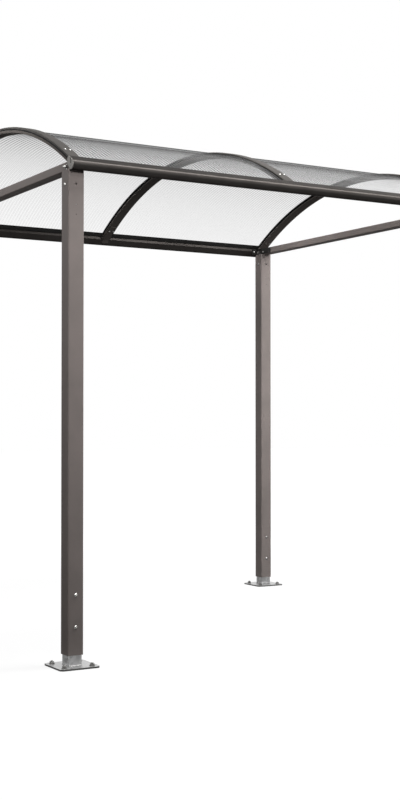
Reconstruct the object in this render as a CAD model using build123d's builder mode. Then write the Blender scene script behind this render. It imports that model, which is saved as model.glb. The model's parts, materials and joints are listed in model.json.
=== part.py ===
"""Bike shelter: an open steel frame under a barrel-vault roof of twin-wall sheet.

Four square posts stand on bolted base shoes.  At each end a rectangular tie runs over
two post tops, and a round-nosed eave beam closes the front and the back.  Three arches
span from eave to eave and clamp two curved roof sheets between rails, gaskets and covers.

Frame: millimetres, +Z up, origin on the ground in the middle of the plan.
X runs along the eaves, Y from the front to the back.
"""

import os
from math import asin, atan, cos, degrees, radians, sin, sqrt

from build123d import *

# ---------------------------------------------------------------- driving dimensions
LENGTH = 2500.0  # over the outer faces of the posts, along X
DEPTH = 2160.0  # over the outer faces of the posts, along Y
TIE_TOP = 2333.0  # top of the end ties above the ground
ROOF_RISE = 309.0  # crown of the sheets' lower face above the tie tops
VAULT_RADIUS = 1968.0  # of the rails' upper faces

POST_SIZE = 80.0
POST_WALL = 3.0
POST_CORNER = 7.0
POST_FOOT = 56.0  # underside of the post tube above the ground

PLATE_SIZE = 200.0
PLATE_THICKNESS = 8.0
PLATE_CORNER = 20.0
ANCHOR_SPACING = 140.0
ANCHOR_HOLE = 14.0

STUB_SIZE = 70.0
STUB_WALL = 4.0
STUB_CORNER = 6.0
STUB_TOP = 385.0
SHOE_BOLT_HEIGHTS = (185.0, 332.0)
WELD_LEG = 3.0

TIE_WIDTH = 60.0
TIE_HEIGHT = 40.0
TIE_WALL = 3.0
TIE_CORNER = 4.0

SPIGOT_LENGTH = 165.0
TOP_BOLT_DROP = 107.0  # below the tie tops
SPARE_HOLE_DROPS = (202.0, 248.0)
BOLT_HOLE = 10.0
SPARE_HOLE = 5.0

EAVE_RISE = 20.0  # ridge of the eave beams above the tie tops
NOSE_RADIUS = 25.0
NOSE_TANGENT = 43.0  # flat length of the beam's sloping flange
BEAM_INSET = 16.0  # how far the beam reaches inside the outer faces of the posts
BEAM_SHOULDER = 7.0  # drop from the beam's ridge to the top of its upright inner face
BEAM_HEEL = 35.0  # drop from the beam's ridge to the foot of its upright inner face
BEAM_WALL = 2.5
CAP_THICKNESS = 3.0
CAP_BEVEL = 2.0
CAP_PLUG = 12.0
CAP_SLOT_WIDTH = 12.0
CAP_SLOT_HEIGHT = 25.0
CAP_SLOT_DEPTH = 9.0
CAP_PORT = 6.0  # round port under the slot

ARCH_WIDTH = 60.0
RAIL_HEIGHT = 10.0
RAIL_WALL = 2.5
RAIL_CORNER = 2.0
RAIL_FIN = 5.5  # upstand along the outer edge of an end rail
RAIL_FIN_WALL = 3.0
SHEET_THICKNESS = 10.0
GASKET_SKIN = 1.0
GASKET_CORE = 10.0
GASKET_RECESS = 6.0
COVER_PLATE = 3.0
COVER_LIP = 5.7  # height of the lips under the plate
COVER_LIP_WALL = 3.0
COVER_BEVEL = 2.5
COVER_BEVEL_WIDTH = 7.0
COVER_END_LIP = 3.5  # how far the outer lip of an end cover reaches below the others
SHEET_CLEARANCE = 9.0  # from the sheets' lower edges to the beams' inner faces

TRIM_WALL = 1.2
TRIM_DEPTH = 22.0
TRIM_CLEARANCE = 0.2

BRACKET_WALL = 5.0
BRACKET_LONG_LEG = 165.0
BRACKET_SHORT_LEG = 45.0
ARCH_CLIP_WALL = 4.0
ARCH_CLIP_WIDTH = 40.0
ARCH_CLIP_REACH = 115.0  # under the middle rail, from the beam's inner face
ARCH_CLIP_LEG = 24.0  # down the beam's slanted underside
COPE_GAP = 2.0  # between a tie's coped end and the eave beam
TIE_BOLT_DROP = 25.0  # below the tie tops

# ---------------------------------------------------------------- derived dimensions
POST_TOP = TIE_TOP - TIE_HEIGHT
POST_X = (LENGTH - POST_SIZE) / 2
POST_Y = (DEPTH - POST_SIZE) / 2
RIDGE_Y = DEPTH / 2  # ridges of the eave beams, above the posts' outer faces
INNER_Y = RIDGE_Y - BEAM_INSET  # upright inner faces of the eave beams
TIE_X = POST_X
ARCH_X = TIE_X  # centres of the end arches
BEAM_END = LENGTH / 2  # outer faces of the beams' end caps, flush with the posts
TOP_BOLT_Z = TIE_TOP - TOP_BOLT_DROP
TIE_BOLT_Z = TIE_TOP - TIE_BOLT_DROP
EAVE_Z = TIE_TOP + EAVE_RISE
FLANGE_ANGLE = 90.0 - 2.0 * degrees(atan(NOSE_RADIUS / NOSE_TANGENT))

RAIL_RADIUS = VAULT_RADIUS
ARC_CENTRE_Z = TIE_TOP + ROOF_RISE - GASKET_SKIN - RAIL_RADIUS
SHEET_RADIUS = RAIL_RADIUS + GASKET_SKIN
SHEET_OUTER = SHEET_RADIUS + SHEET_THICKNESS
SHEET_END_Y = INNER_Y - SHEET_CLEARANCE
COVER_UNDERSIDE = SHEET_OUTER + GASKET_SKIN
COVER_TOP = COVER_UNDERSIDE + COVER_PLATE + COVER_LIP

CORNERS = {
    "front_left": (-1, -1),
    "front_right": (1, -1),
    "back_left": (-1, 1),
    "back_right": (1, 1),
}
ARCHES = {"left": -1, "middle": 0, "right": 1}
SIDES = {"front": -1, "back": 1}
ENDS = {"left": -1, "right": 1}
ARC_AXIS = Axis((0, 0, ARC_CENTRE_Z), (1, 0, 0))


def write(part, name):
    """Labels a finished piece and writes its STEP file."""
    part.label = name
    export_step(part, f"parts/{name}.step")


def radial_plane(angle):
    """Plane through the vault's axis at an angle behind the crown: x along X, y outwards."""
    turn = radians(angle)
    return Plane(origin=(0, 0, ARC_CENTRE_Z), x_dir=(1, 0, 0), z_dir=(0, -cos(turn), sin(turn)))


def angle_at(distance, radius):
    """Angle from the crown at which a cylinder of this radius is this far from the middle."""
    return degrees(asin(distance / radius))


def square_tube(size, wall, corner):
    """Adds the section of a square tube with rounded corners to the open sketch."""
    RectangleRounded(size, size, corner)
    RectangleRounded(size - 2 * wall, size - 2 * wall, corner - wall, mode=Mode.SUBTRACT)


def beam_outline(side, inset=0.0):
    """Adds the eave beam's outline, shrunk by an inset, to a sketch on a YZ plane."""
    nose_y = RIDGE_Y + NOSE_RADIUS
    nose_z = EAVE_Z - NOSE_TANGENT
    slope = radians(FLANGE_ANGLE)
    heel_y = INNER_Y
    heel_z = EAVE_Z - BEAM_HEEL
    to_nose = sqrt((nose_y - heel_y) ** 2 + (heel_z - nose_z) ** 2)
    dip = atan((heel_z - nose_z) / (nose_y - heel_y)) + asin(NOSE_RADIUS / to_nose)
    ridge = (side * RIDGE_Y, EAVE_Z)
    inner_top = (side * INNER_Y, EAVE_Z - BEAM_SHOULDER)
    heel = (side * heel_y, heel_z)
    keel = (side * (nose_y - NOSE_RADIUS * sin(dip)), nose_z - NOSE_RADIUS * cos(dip))
    tip = (side * (nose_y + NOSE_RADIUS * cos(radians(30))), nose_z - NOSE_RADIUS * sin(radians(30)))
    shoulder = (side * (nose_y + NOSE_RADIUS * sin(slope)), nose_z + NOSE_RADIUS * cos(slope))
    with BuildLine() as outline:
        Polyline(shoulder, ridge, inner_top, heel, keel)
        ThreePointArc(keel, tip, shoulder)
    make_face(outline.edges())
    if inset:
        offset(amount=-inset, kind=Kind.INTERSECTION, mode=Mode.REPLACE)


def make_post(name, x_sign, y_sign):
    """Square tube with the bolt holes of its shoe and spigot and two spare holes."""
    x, y = x_sign * POST_X, y_sign * POST_Y
    with BuildPart() as post:
        with BuildSketch(Plane.XY.offset(POST_FOOT)):
            with Locations((x, y)):
                square_tube(POST_SIZE, POST_WALL, POST_CORNER)
        extrude(amount=POST_TOP - POST_FOOT)
        bolt_heights = (*SHOE_BOLT_HEIGHTS, TOP_BOLT_Z)
        with BuildSketch(Plane.XZ.offset(-y)):
            with Locations(*[(x, height) for height in bolt_heights]):
                Circle(BOLT_HOLE / 2)
            with Locations(*[(x, TIE_TOP - drop) for drop in SPARE_HOLE_DROPS]):
                Circle(SPARE_HOLE / 2)
        extrude(amount=POST_SIZE / 2, both=True, mode=Mode.SUBTRACT)
        with BuildSketch(Plane.YZ.offset(x)):
            with Locations((y, TOP_BOLT_Z)):
                Circle(BOLT_HOLE / 2)
        extrude(amount=POST_SIZE / 2, both=True, mode=Mode.SUBTRACT)
    write(post.part, name)


def make_shoe(name, x_sign, y_sign):
    """Galvanised base plate with a welded stub tube that stands inside the post."""
    x, y = x_sign * POST_X, y_sign * POST_Y
    with BuildPart() as shoe:
        with BuildSketch():
            with Locations((x, y)):
                RectangleRounded(PLATE_SIZE, PLATE_SIZE, PLATE_CORNER)
                with GridLocations(ANCHOR_SPACING, ANCHOR_SPACING, 2, 2):
                    Circle(ANCHOR_HOLE / 2, mode=Mode.SUBTRACT)
        extrude(amount=PLATE_THICKNESS)
        with BuildSketch(Plane.XY.offset(PLATE_THICKNESS)):
            with Locations((x, y)):
                square_tube(STUB_SIZE, STUB_WALL, STUB_CORNER)
        extrude(amount=STUB_TOP - PLATE_THICKNESS)
        with BuildSketch(Plane.XY.offset(PLATE_THICKNESS)):
            with Locations((x, y)):
                weld_size = STUB_SIZE + 2 * WELD_LEG
                RectangleRounded(weld_size, weld_size, STUB_CORNER + WELD_LEG)
                stub_bore = STUB_SIZE - 2 * STUB_WALL
                Rectangle(stub_bore, stub_bore, mode=Mode.SUBTRACT)
        extrude(amount=WELD_LEG, taper=44.9)
        with BuildSketch(Plane.XZ.offset(-y)):
            with Locations(*[(x, height) for height in SHOE_BOLT_HEIGHTS]):
                Circle(BOLT_HOLE / 2)
        extrude(amount=STUB_SIZE / 2, both=True, mode=Mode.SUBTRACT)
    write(shoe.part, name)


def make_spigot(name, x_sign, y_sign):
    """Square tube under the tie that fits inside the post top."""
    x, y = x_sign * POST_X, y_sign * POST_Y
    with BuildPart() as spigot:
        with BuildSketch(Plane.XY.offset(POST_TOP - SPIGOT_LENGTH)):
            with Locations((x, y)):
                square_tube(STUB_SIZE, STUB_WALL, STUB_CORNER)
        extrude(amount=SPIGOT_LENGTH)
        with BuildSketch(Plane.XZ.offset(-y)):
            with Locations((x, TOP_BOLT_Z)):
                Circle(BOLT_HOLE / 2)
        extrude(amount=STUB_SIZE / 2, both=True, mode=Mode.SUBTRACT)
        with BuildSketch(Plane.YZ.offset(x)):
            with Locations((y, TOP_BOLT_Z)):
                Circle(BOLT_HOLE / 2)
        extrude(amount=STUB_SIZE / 2, both=True, mode=Mode.SUBTRACT)
    write(spigot.part, name)


def make_tie(name, x_sign):
    """Rectangular tube over two post tops, coped to both eave beams."""
    x = x_sign * TIE_X
    with BuildPart() as tie:
        with BuildSketch(Plane.XZ.offset(-RIDGE_Y)):
            with Locations((x, TIE_TOP - TIE_HEIGHT / 2)):
                RectangleRounded(TIE_WIDTH, TIE_HEIGHT, TIE_CORNER)
                RectangleRounded(
                    TIE_WIDTH - 2 * TIE_WALL,
                    TIE_HEIGHT - 2 * TIE_WALL,
                    TIE_CORNER - TIE_WALL,
                    mode=Mode.SUBTRACT,
                )
        extrude(amount=2 * RIDGE_Y)
        for side in SIDES.values():
            with BuildSketch(Plane.YZ.offset(x)):
                beam_outline(side, -COPE_GAP)
            extrude(amount=TIE_WIDTH, both=True, mode=Mode.SUBTRACT)
        with BuildSketch(Plane.YZ.offset(x)):
            with Locations((POST_Y, TIE_BOLT_Z), (-POST_Y, TIE_BOLT_Z)):
                Circle(BOLT_HOLE / 2)
        extrude(amount=TIE_WIDTH / 2, both=True, mode=Mode.SUBTRACT)
    write(tie.part, name)


def make_beam(name, side):
    """Hollow eave beam: upright inner face, flange at the roof's slope, round nose."""
    half = BEAM_END - CAP_THICKNESS
    with BuildPart() as beam:
        with BuildSketch(Plane.YZ.offset(-half)):
            beam_outline(side)
        extrude(amount=2 * half)
        with BuildSketch(Plane.YZ.offset(-half)):
            beam_outline(side, BEAM_WALL)
        extrude(amount=2 * half, mode=Mode.SUBTRACT)
    write(beam.part, name)


def make_beam_cap(name, x_sign, y_sign):
    """End cap with the beam's outline, a bevelled face, a slot, a port and a plug in the beam."""
    inner_face = x_sign * (BEAM_END - CAP_THICKNESS)
    slot_y = y_sign * (RIDGE_Y + NOSE_RADIUS * 0.8)
    slot_z = EAVE_Z - NOSE_TANGENT * 0.6
    with BuildPart() as cap:
        with BuildSketch(Plane.YZ.offset(inner_face)):
            beam_outline(y_sign)
        extrude(amount=x_sign * CAP_THICKNESS)
        outer_face = cap.faces().sort_by(Axis.X)[-1 if x_sign > 0 else 0]
        chamfer(outer_face.edges(), CAP_BEVEL)
        with BuildSketch(Plane.YZ.offset(inner_face)):
            beam_outline(y_sign, BEAM_WALL + TRIM_CLEARANCE)
        extrude(amount=-x_sign * CAP_PLUG)
        with BuildSketch(Plane.YZ.offset(x_sign * BEAM_END)):
            with Locations((slot_y, slot_z)):
                Rectangle(CAP_SLOT_WIDTH, CAP_SLOT_HEIGHT)
            with Locations((slot_y, slot_z - CAP_SLOT_HEIGHT)):
                Circle(CAP_PORT / 2)
        extrude(amount=-x_sign * CAP_SLOT_DEPTH, mode=Mode.SUBTRACT)
    write(cap.part, name)


def cut_at_beams():
    """Cuts the open part upright at the inner faces of both eave beams."""
    split(bisect_by=Plane(origin=(0, INNER_Y, 0), z_dir=(0, 1, 0)), keep=Keep.BOTTOM)
    split(bisect_by=Plane(origin=(0, -INNER_Y, 0), z_dir=(0, -1, 0)), keep=Keep.BOTTOM)


def make_rail(name, end):
    """Hollow arch rail under the sheets; an end rail has an outer fin and sits on its tie."""
    sweep_angle = angle_at(RIDGE_Y, RAIL_RADIUS)
    middle = RAIL_RADIUS - RAIL_HEIGHT / 2
    with BuildPart() as rail:
        with BuildSketch(radial_plane(sweep_angle)) as section:
            with Locations((end * ARCH_X, middle)):
                Rectangle(ARCH_WIDTH, RAIL_HEIGHT)
            chamfer(section.vertices().group_by(Axis.Y)[0], RAIL_CORNER)
            if end:
                fin_x = end * (ARCH_X + (ARCH_WIDTH - RAIL_FIN_WALL) / 2)
                with Locations((fin_x, RAIL_RADIUS + RAIL_FIN / 2)):
                    Rectangle(RAIL_FIN_WALL, RAIL_FIN)
            with Locations((end * ARCH_X, middle)):
                Rectangle(ARCH_WIDTH - 2 * RAIL_WALL, RAIL_HEIGHT - 2 * RAIL_WALL, mode=Mode.SUBTRACT)
        revolve(axis=ARC_AXIS, revolution_arc=2 * sweep_angle)
        cut_at_beams()
        if end:
            with Locations((end * TIE_X, 0, TIE_TOP - TIE_HEIGHT)):
                Box(ARCH_WIDTH * 2, 2 * RIDGE_Y, 2 * TIE_HEIGHT, mode=Mode.SUBTRACT)
    write(rail.part, name)


def make_cover(name, end):
    """Clamping cover over the sheets: bevelled plate between two lips."""
    x = end * ARCH_X
    half = ARCH_WIDTH / 2
    plate = COVER_TOP - COVER_PLATE
    sweep_angle = angle_at(RIDGE_Y, COVER_UNDERSIDE)
    lips = {side: COVER_UNDERSIDE - (COVER_END_LIP if end == side else 0.0) for side in (-1, 1)}
    with BuildPart() as cover:
        with BuildSketch(radial_plane(sweep_angle)):
            with BuildLine():
                Polyline(
                    (x - half, COVER_TOP - COVER_BEVEL),
                    (x - half, lips[-1]),
                    (x - half + COVER_LIP_WALL, lips[-1]),
                    (x - half + COVER_LIP_WALL, plate),
                    (x + half - COVER_LIP_WALL, plate),
                    (x + half - COVER_LIP_WALL, lips[1]),
                    (x + half, lips[1]),
                    (x + half, COVER_TOP - COVER_BEVEL),
                    (x + half - COVER_BEVEL_WIDTH, COVER_TOP),
                    (x - half + COVER_BEVEL_WIDTH, COVER_TOP),
                    close=True,
                )
            make_face()
        revolve(axis=ARC_AXIS, revolution_arc=2 * sweep_angle)
        cut_at_beams()
    write(cover.part, name)


def make_gasket(name, end):
    """Rubber section that grips the sheet edges: I-shaped in the middle, C-shaped at an end."""
    x = end * ARCH_X
    half = ARCH_WIDTH / 2
    core_x = x + end * (half - GASKET_RECESS - GASKET_CORE / 2)
    inner_half = half - COVER_LIP_WALL - TRIM_CLEARANCE
    sweep_angle = angle_at(SHEET_END_Y, SHEET_RADIUS)
    with BuildPart() as gasket:
        with BuildSketch(radial_plane(sweep_angle)):
            with Locations((core_x, (RAIL_RADIUS + COVER_UNDERSIDE) / 2)):
                Rectangle(GASKET_CORE, COVER_UNDERSIDE - RAIL_RADIUS)
            with Locations(
                ((core_x + x - end * inner_half) / 2, RAIL_RADIUS + GASKET_SKIN / 2),
                ((core_x + x - end * inner_half) / 2, COVER_UNDERSIDE - GASKET_SKIN / 2),
            ):
                Rectangle(abs(core_x - x + end * inner_half) if end else 2 * inner_half, GASKET_SKIN)
        revolve(axis=ARC_AXIS, revolution_arc=2 * sweep_angle)
    write(gasket.part, name)


def make_sheet(name, end):
    """Curved roof sheet of one bay, from the core of an end gasket to the middle one."""
    outer_x = end * (ARCH_X + ARCH_WIDTH / 2 - GASKET_RECESS - GASKET_CORE)
    inner_x = end * GASKET_CORE / 2
    sweep_angle = angle_at(SHEET_END_Y, SHEET_RADIUS)
    with BuildPart() as sheet:
        with BuildSketch(radial_plane(sweep_angle)):
            with Locations(((outer_x + inner_x) / 2, SHEET_RADIUS + SHEET_THICKNESS / 2)):
                Rectangle(abs(outer_x - inner_x), SHEET_THICKNESS)
        revolve(axis=ARC_AXIS, revolution_arc=2 * sweep_angle)
    write(sheet.part, name)


def make_trim(name, end, side):
    """U-section that closes the cells along one eave edge of a sheet, between two covers."""
    outer_x = ARCH_X - ARCH_WIDTH / 2 - 1.0
    inner_x = ARCH_WIDTH / 2 + 1.0
    turn = radians(angle_at(SHEET_END_Y, SHEET_RADIUS))
    edge = (end * inner_x if end > 0 else -outer_x, side * SHEET_RADIUS * sin(turn),
            ARC_CENTRE_Z + SHEET_RADIUS * cos(turn))
    down_slope = (0, side * cos(turn), -sin(turn))
    section_plane = Plane(origin=edge, x_dir=down_slope, z_dir=(1, 0, 0))
    low = -TRIM_CLEARANCE - TRIM_WALL
    high = SHEET_THICKNESS + TRIM_CLEARANCE + TRIM_WALL
    flip = 1 if (section_plane.y_dir.Z > 0) else -1
    with BuildPart() as trim:
        with BuildSketch(section_plane):
            with BuildLine():
                Polyline(
                    (-TRIM_DEPTH, flip * low),
                    (TRIM_WALL, flip * low),
                    (TRIM_WALL, flip * high),
                    (-TRIM_DEPTH, flip * high),
                    (-TRIM_DEPTH, flip * (high - TRIM_WALL)),
                    (0, flip * (high - TRIM_WALL)),
                    (0, flip * (low + TRIM_WALL)),
                    (-TRIM_DEPTH, flip * (low + TRIM_WALL)),
                    close=True,
                )
            make_face()
        extrude(amount=outer_x - inner_x)
    write(trim.part, name)


def make_bracket(name, x_sign, y_sign):
    """Angle bracket in the inner corner of a tie and an eave beam."""
    corner_x = x_sign * (TIE_X - TIE_WIDTH / 2)
    corner_y = y_sign * INNER_Y
    bottom = TIE_TOP - TIE_HEIGHT + 2.0
    height = TIE_HEIGHT - 4.0
    with BuildPart() as bracket:
        with BuildSketch(Plane.XY.offset(bottom)):
            with BuildLine():
                FilletPolyline(
                    (corner_x - x_sign * BRACKET_SHORT_LEG, corner_y - y_sign * BRACKET_WALL),
                    (corner_x - x_sign * BRACKET_WALL, corner_y - y_sign * BRACKET_WALL),
                    (corner_x - x_sign * BRACKET_WALL, corner_y - y_sign * BRACKET_LONG_LEG),
                    radius=4.0,
                )
                Polyline(
                    (corner_x - x_sign * BRACKET_WALL, corner_y - y_sign * BRACKET_LONG_LEG),
                    (corner_x, corner_y - y_sign * BRACKET_LONG_LEG),
                    (corner_x, corner_y),
                    (corner_x - x_sign * BRACKET_SHORT_LEG, corner_y),
                    (corner_x - x_sign * BRACKET_SHORT_LEG, corner_y - y_sign * BRACKET_WALL),
                )
            make_face()
        extrude(amount=height)
        with BuildSketch(Plane.YZ.offset(corner_x)):
            with Locations((y_sign * POST_Y, TIE_BOLT_Z)):
                Circle(BOLT_HOLE / 2)
        extrude(amount=-x_sign * BRACKET_WALL, mode=Mode.SUBTRACT)
    write(bracket.part, name)


def make_arch_clip(name, side):
    """Bent cleat of the middle rail: one leg under the rail, one on the beam's slanted face."""
    soffit = RAIL_RADIUS - RAIL_HEIGHT
    foot_angle = angle_at(INNER_Y, soffit)
    leg_angle = foot_angle - angle_at(INNER_Y - ARCH_CLIP_REACH, soffit)
    heel_z = ARC_CENTRE_Z + sqrt(soffit**2 - INNER_Y**2)
    nose_y = RIDGE_Y + NOSE_RADIUS
    nose_z = EAVE_Z - NOSE_TANGENT
    to_nose = sqrt((nose_y - INNER_Y) ** 2 + (EAVE_Z - BEAM_HEEL - nose_z) ** 2)
    dip = atan((EAVE_Z - BEAM_HEEL - nose_z) / (nose_y - INNER_Y)) + asin(NOSE_RADIUS / to_nose)
    along_y, along_z = ARCH_CLIP_LEG * cos(dip), -ARCH_CLIP_LEG * sin(dip)
    in_y, in_z = -ARCH_CLIP_WALL * sin(dip), -ARCH_CLIP_WALL * cos(dip)
    lap = ARCH_CLIP_WALL * sin(radians(foot_angle))
    with BuildPart() as clip:
        start = foot_angle if side > 0 else leg_angle - foot_angle
        with BuildSketch(radial_plane(start)):
            with Locations((0, soffit - ARCH_CLIP_WALL / 2)):
                Rectangle(ARCH_CLIP_WIDTH, ARCH_CLIP_WALL)
        revolve(axis=ARC_AXIS, revolution_arc=leg_angle)
        with BuildSketch(Plane.YZ.offset(-ARCH_CLIP_WIDTH / 2)):
            with BuildLine():
                Polyline(
                    (side * INNER_Y, heel_z),
                    (side * (INNER_Y + along_y), heel_z + along_z),
                    (side * (INNER_Y + along_y + in_y), heel_z + along_z + in_z),
                    (side * (INNER_Y - lap), heel_z - ARCH_CLIP_WALL * cos(radians(foot_angle))),
                    close=True,
                )
            make_face()
        extrude(amount=ARCH_CLIP_WIDTH)
    write(clip.part, name)


def main():
    """Builds every piece and writes it to the parts folder."""
    os.makedirs("parts", exist_ok=True)
    for corner, (x_sign, y_sign) in CORNERS.items():
        make_post(f"post_{corner}", x_sign, y_sign)
        make_shoe(f"base_shoe_{corner}", x_sign, y_sign)
        make_spigot(f"tie_spigot_{corner}", x_sign, y_sign)
        make_beam_cap(f"beam_cap_{corner}", x_sign, y_sign)
        make_bracket(f"corner_bracket_{corner}", x_sign, y_sign)
    for end, x_sign in ENDS.items():
        make_tie(f"end_tie_{end}", x_sign)
        make_sheet(f"roof_sheet_{end}", x_sign)
        for side, y_sign in SIDES.items():
            make_trim(f"sheet_trim_{side}_{end}", x_sign, y_sign)
    for side, y_sign in SIDES.items():
        make_beam(f"eave_beam_{side}", y_sign)
        make_arch_clip(f"arch_clip_{side}", y_sign)
    for arch, x_sign in ARCHES.items():
        make_rail(f"arch_rail_{arch}", x_sign)
        make_cover(f"arch_cover_{arch}", x_sign)
        make_gasket(f"arch_gasket_{arch}", x_sign)


main()
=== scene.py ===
"""Bike shelter: finishes, twin-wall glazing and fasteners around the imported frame."""

import json
import logging
import math
from dataclasses import dataclass
from enum import Enum
from typing import Any

import bmesh
import bpy
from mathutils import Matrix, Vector


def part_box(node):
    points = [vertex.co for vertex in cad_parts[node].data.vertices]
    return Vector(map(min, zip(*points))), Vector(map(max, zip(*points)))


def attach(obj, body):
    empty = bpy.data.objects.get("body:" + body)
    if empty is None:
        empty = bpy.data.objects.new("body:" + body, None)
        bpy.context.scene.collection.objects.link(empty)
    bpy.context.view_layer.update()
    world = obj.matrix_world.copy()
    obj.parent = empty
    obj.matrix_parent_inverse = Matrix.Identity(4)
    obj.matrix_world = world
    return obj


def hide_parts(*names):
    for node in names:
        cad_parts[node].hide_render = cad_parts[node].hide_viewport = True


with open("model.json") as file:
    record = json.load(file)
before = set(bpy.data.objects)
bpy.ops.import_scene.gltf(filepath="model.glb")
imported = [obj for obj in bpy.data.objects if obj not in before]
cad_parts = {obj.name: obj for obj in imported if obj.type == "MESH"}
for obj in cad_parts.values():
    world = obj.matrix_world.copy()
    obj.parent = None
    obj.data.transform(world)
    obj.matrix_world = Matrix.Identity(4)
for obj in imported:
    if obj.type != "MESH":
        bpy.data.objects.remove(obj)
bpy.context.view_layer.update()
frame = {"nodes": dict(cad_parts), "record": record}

LOG = logging.getLogger("bike_shelter")
MM = 0.001

CORNERS: dict[str, tuple[int, int]] = {
    "front_left": (-1, -1),
    "front_right": (1, -1),
    "back_left": (-1, 1),
    "back_right": (1, 1),
}
ENDS: dict[str, int] = {"left": -1, "right": 1}
ARCHES: tuple[str, ...] = ("left", "middle", "right")


# -------------------- colour and node helpers
def linear(hex_colour: str) -> tuple[float, float, float, float]:
    """Turns an sRGB hex colour into linear RGBA.

    Args:
        hex_colour: Six hex digits, with or without a leading hash.

    Returns:
        Red, green and blue, each from 0 to 1, and an alpha of 1.
    """
    digits = hex_colour.lstrip("#")
    channels = [int(digits[i:i + 2], 16) / 255 for i in (0, 2, 4)]
    red, green, blue = (
        c / 12.92 if c <= 0.04045 else ((c + 0.055) / 1.055) ** 2.4 for c in channels
    )
    return red, green, blue, 1.0


def add_node(
    tree: bpy.types.NodeTree, kind: str, inputs: dict[Any, Any] | None = None,
    stops: tuple[tuple[float, str], ...] = (), **settings: Any
) -> bpy.types.Node:
    """Adds a node, sets its properties and fills or links its inputs.

    Args:
        tree: The node tree that gets the node.
        kind: The node's type, such as "ShaderNodeTexNoise".
        inputs: Input name or number to a value, or to another node's output socket.
        stops: The two positions and hex colours of a colour ramp.
        **settings: Properties of the node itself.

    Returns:
        The new node.
    """
    node = tree.nodes.new(kind)
    for name, value in settings.items():
        setattr(node, name, value)
    for key, value in (inputs or {}).items():
        if isinstance(value, bpy.types.NodeSocket):
            tree.links.new(value, node.inputs[key])
        else:
            node.inputs[key].default_value = value
    for index, (position, colour) in enumerate(stops):
        element = node.color_ramp.elements[index]
        element.position, element.color = position, linear(colour)
    return node


def new_material(name: str) -> tuple[bpy.types.Material, bpy.types.NodeTree]:
    """Makes an empty node material.

    Args:
        name: Name of the material.

    Returns:
        The material and its node tree.
    """
    material = bpy.data.materials.new(name)
    material.use_nodes = True
    material.node_tree.nodes.clear()
    return material, material.node_tree


# -------------------- finishes
# Inputs by number: a Map Range node has value, from min, from max, to min, to max; a Mix node
# of colours has its two colours at 6 and 7, and its result at output 2. Noise keeps mostly
# between 0.3 and 0.7, so ramps and ranges on it start and end about there.
@dataclass(frozen=True)
class PowderCoat:
    """Polyester powder coat on steel or aluminium.

    The eye gets a satin, almost even colour with a soft sheen line on curves and, close up,
    the faint orange peel that the powder leaves when it melts and flows. A flake coat has
    aluminium dust in it, so it keeps its line of light and stays dark beside it.
    """

    name: str
    colour: str
    shaded: str
    roughness: float = 0.42
    specular: float = 0.35
    peel_mm: float = 2.5
    flake: float = 0.0
    cloud_mm: float = 160.0  # how far apart the paint is thicker and thinner
    cloud_rough: float = 0.03
    peel_depth_mm: float = 0.2
    peel_strength: float = 0.10
    sheen_tint: str = "#909090"

    def build(self) -> bpy.types.Material:
        """Makes the material.

        Returns:
            The new material.
        """
        material, tree = new_material(self.name)
        place = add_node(tree, "ShaderNodeTexCoord").outputs["Object"]
        cloud = add_node(
            tree, "ShaderNodeTexNoise",
            {"Vector": place, "Scale": 1.0 / (self.cloud_mm * MM), "Detail": 3.0},
        ).outputs["Fac"]
        peel = add_node(
            tree, "ShaderNodeTexNoise",
            {"Vector": place, "Scale": 1.0 / (self.peel_mm * MM), "Detail": 1.0},
        ).outputs["Fac"]
        colour = add_node(
            tree, "ShaderNodeValToRGB", {0: cloud}, ((0.35, self.shaded), (0.65, self.colour))
        ).outputs["Color"]
        bump = add_node(
            tree, "ShaderNodeBump",
            {"Strength": self.peel_strength, "Distance": self.peel_depth_mm * MM, "Height": peel},
        ).outputs["Normal"]
        rough = add_node(
            tree, "ShaderNodeMapRange",
            {0: cloud, 1: 0.3, 2: 0.7, 3: self.roughness - self.cloud_rough,
             4: self.roughness + self.cloud_rough},
        ).outputs[0]
        shader = add_node(
            tree, "ShaderNodeBsdfPrincipled",
            {
                "Base Color": colour,
                "Metallic": self.flake,
                "Roughness": rough,
                "Specular IOR Level": self.specular,
                "Specular Tint": linear(self.sheen_tint),
                "Normal": bump,
            },
        )
        add_node(tree, "ShaderNodeOutputMaterial", {"Surface": shader.outputs[0]})
        return material


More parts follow.
